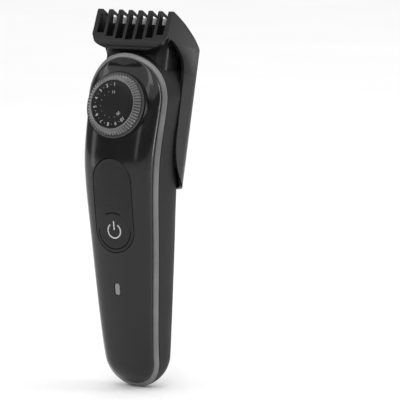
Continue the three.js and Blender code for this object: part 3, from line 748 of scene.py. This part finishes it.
def make_materials():
    made = {
        "gloss": finish_material("gloss_black", grey(0.004), grey(0.006),
            (0.12, 0.19), 900, 0.04, coat=0.12, specular=0.33),
        "soft": finish_material("soft_black", grey(0.007), grey(0.011),
            (0.46, 0.58), 5200, 0.45, specular=0.18),
        "pad": finish_material("pad_rubber", grey(0.007), grey(0.01),
            (0.5, 0.62), 4200, 0.4, specular=0.35),
        "comb": finish_material("comb_grey", grey(0.008), grey(0.012),
            (0.24, 0.34), 3800, 0.22, specular=0.22),
        "satin": finish_material("satin_grey", grey(0.15), grey(0.19),
            (0.34, 0.44), 3600, 0.2, metallic=0.35),
        "silver": finish_material("dial_silver", grey(0.15), grey(0.2),
            (0.28, 0.38), 3000, 0.15, metallic=0.7),
        "inner": finish_material("inner_plastic", grey(0.04), grey(0.055),
            (0.5, 0.6), 4000, 0.3),
        "steel": finish_material("steel", grey(0.55), grey(0.66),
            (0.2, 0.32), 2600, 0.2, metallic=1.0),
        "face": finish_material("face_black", grey(0.006), grey(0.009),
            (0.26, 0.34), 1500, 0.06, specular=0.22),
        "blade": finish_material("blade_steel", grey(0.5), grey(0.62),
            (0.34, 0.46), 2600, 0.2, metallic=0.45),
        "brass": finish_material("brass", (0.55, 0.36, 0.11), (0.66, 0.45, 0.15),
            (0.25, 0.36), 2600, 0.15, metallic=1.0),
        "board": finish_material("board_green", (0.01, 0.07, 0.02), (0.015, 0.1, 0.03),
            (0.35, 0.45), 2200, 0.2),
        "sleeve": finish_material("cell_sleeve", (0.02, 0.09, 0.3), (0.03, 0.11, 0.36),
            (0.3, 0.42), 1800, 0.15),
        "window": finish_material("clear_grey", grey(0.17), grey(0.22),
            (0.16, 0.24), 1500, 0.05, coat=0.3),
        "print": finish_material("white_print", grey(0.42), grey(0.5),
            (0.4, 0.5), 4000, 0.1),
    }
    return made


SLOT_FINISH = {"gloss_black": "gloss", "soft_black": "soft", "satin_grey": "satin",
               "inner_plastic": "inner", "steel": "steel", "brass": "brass",
               "board_green": "board", "cell_sleeve": "sleeve", "clear_grey": "window"}


def paint(obj, material):
    obj.data.materials.clear()
    obj.data.materials.append(material)


def node_slots():
    """The record's material slot of each CAD node."""
    slots = {}
    for entry in frame["record"].get("materials", []):
        for node in entry.get("nodes", []):
            slots[node] = entry["slot"]
    return slots


def place_piece(obj, body, slot, material, *nodes):
    paint(obj, material)
    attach(obj, body)
    if nodes:
        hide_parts(*nodes)


# The cam's groove and the pin in it keep their exact shapes.
GROOVE_AND_PIN = ("dial_cam", "follower_pin")


def build_object():
    made = make_materials()
    slots = node_slots()
    for name, node in frame["nodes"].items():
        paint(node, made[SLOT_FINISH.get(slots.get(name), "inner")])
        if name not in GROOVE_AND_PIN:
            bevel_edges(node, 0.08, 2)
    place_piece(make_front_panel(), "housing", "gloss_black", made["gloss"], "front_panel")
    place_piece(smooth(make_rear_shell(), 32), "housing", "soft_black", made["soft"], "rear_shell")
    place_piece(make_trim_strip(), "housing", "satin_grey", made["satin"], "trim_strip")
    place_piece(make_grip_pad(), "housing", "soft_black", made["pad"], "grip_pad")
    place_piece(make_pad_dots(), "housing", "soft_black", made["pad"])
    place_piece(make_charge_light(), "housing", "clear_grey", made["window"], "charge_light")
    place_piece(make_power_button(), "button", "soft_black", made["pad"], "power_button")
    place_piece(make_power_symbol(), "button", "satin_grey", made["print"])
    place_piece(make_dial_knob(), "dial", "satin_grey", made["silver"], "dial_knob")
    place_piece(make_dial_face(), "dial", "gloss_black", made["face"], "dial_face")
    place_piece(make_dial_numbers(), "dial", "satin_grey", made["print"])
    place_piece(make_comb(), "comb_guard", "gloss_black", made["comb"], "comb")
    for name in ("blade_cover", "head_neck"):
        paint(frame["nodes"][name], made["comb"])
    for name in ("fixed_blade", "moving_blade"):
        paint(frame["nodes"][name], made["blade"])


# ---------- studio ----------
TARGET = Vector((23.7, 17.2, 88.2)) * MM
AZIMUTH = math.radians(31)
ELEVATION = math.radians(8)
DISTANCE = 1.2
VIEW_WIDTH = 187.2 * MM


def make_camera():
    back = Vector((math.sin(AZIMUTH) * math.cos(ELEVATION), -math.cos(AZIMUTH) * math.cos(ELEVATION),
                   math.sin(ELEVATION)))
    camera = bpy.data.objects.new("camera", bpy.data.cameras.new("camera"))
    camera.data.sensor_width = 36
    camera.data.lens = 36 * DISTANCE / VIEW_WIDTH
    camera.location = TARGET + back * DISTANCE
    camera.rotation_euler = (-back).to_track_quat("-Z", "Y").to_euler()
    camera.data.clip_start, camera.data.clip_end = 0.01, 50
    bpy.context.scene.collection.objects.link(camera)
    bpy.context.scene.camera = camera


def make_floor():
    size = 9.0
    mesh = bpy.data.meshes.new("floor")
    corners = [(-size, -size, 0), (size, -size, 0), (size, size, 0), (-size, size, 0)]
    mesh.from_pydata(corners, [], [[0, 1, 2, 3]])
    floor = bpy.data.objects.new("floor", mesh)
    bpy.context.scene.collection.objects.link(floor)
    paper = finish_material("floor_paper", (0.86,) * 3, (0.89,) * 3, (0.75, 0.85), 300, 0.05, blotch=2)
    paint(floor, paper)


def softbox(name, azimuth, elevation, distance, width, height, power):
    """An area light aimed at the middle of the object."""
    light = bpy.data.lights.new(name, "AREA")
    light.shape = "RECTANGLE"
    light.size, light.size_y = width, height
    light.energy = power
    obj = bpy.data.objects.new(name, light)
    middle = Vector((0, 0, 0.09))
    a, e = math.radians(azimuth), math.radians(elevation)
    back = Vector((math.sin(a) * math.cos(e), -math.cos(a) * math.cos(e), math.sin(e)))
    obj.location = middle + back * distance
    obj.rotation_euler = (-back).to_track_quat("-Z", "Y").to_euler()
    bpy.context.scene.collection.objects.link(obj)


def make_lights():
    ceiling = 14.0
    softbox("ceiling", 0, 90, 3.0, ceiling, ceiling, 660)
    softbox("left_strip", -62, 12, 0.8, 0.14, 0.7, 0.55)
    softbox("front_strip", 12, 22, 0.9, 0.1, 0.6, 0.35)
    softbox("right_strip", 118, 14, 0.8, 0.1, 0.7, 2.2)
    softbox("head_fill", 25, 50, 0.9, 0.3, 0.3, 0.8)
    world = bpy.data.worlds.new("studio")
    world.use_nodes = True
    nodes, links = world.node_tree.nodes, world.node_tree.links
    dim = nodes["Background"]
    dim.inputs["Color"].default_value = (1, 1, 1, 1)
    dim.inputs["Strength"].default_value = 0.22
    pale = nodes.new("ShaderNodeBackground")
    pale.inputs["Color"].default_value = (1, 1, 1, 1)
    pale.inputs["Strength"].default_value = 0.95
    seen = nodes.new("ShaderNodeLightPath")
    mix = nodes.new("ShaderNodeMixShader")
    links.new(seen.outputs["Is Camera Ray"], mix.inputs["Fac"])
    links.new(dim.outputs["Background"], mix.inputs[1])
    links.new(pale.outputs["Background"], mix.inputs[2])
    links.new(mix.outputs["Shader"], nodes["World Output"].inputs["Surface"])
    bpy.context.scene.world = world
    bpy.context.scene.view_settings.view_transform = "Standard"


build_object()
make_camera()
make_floor()
make_lights()
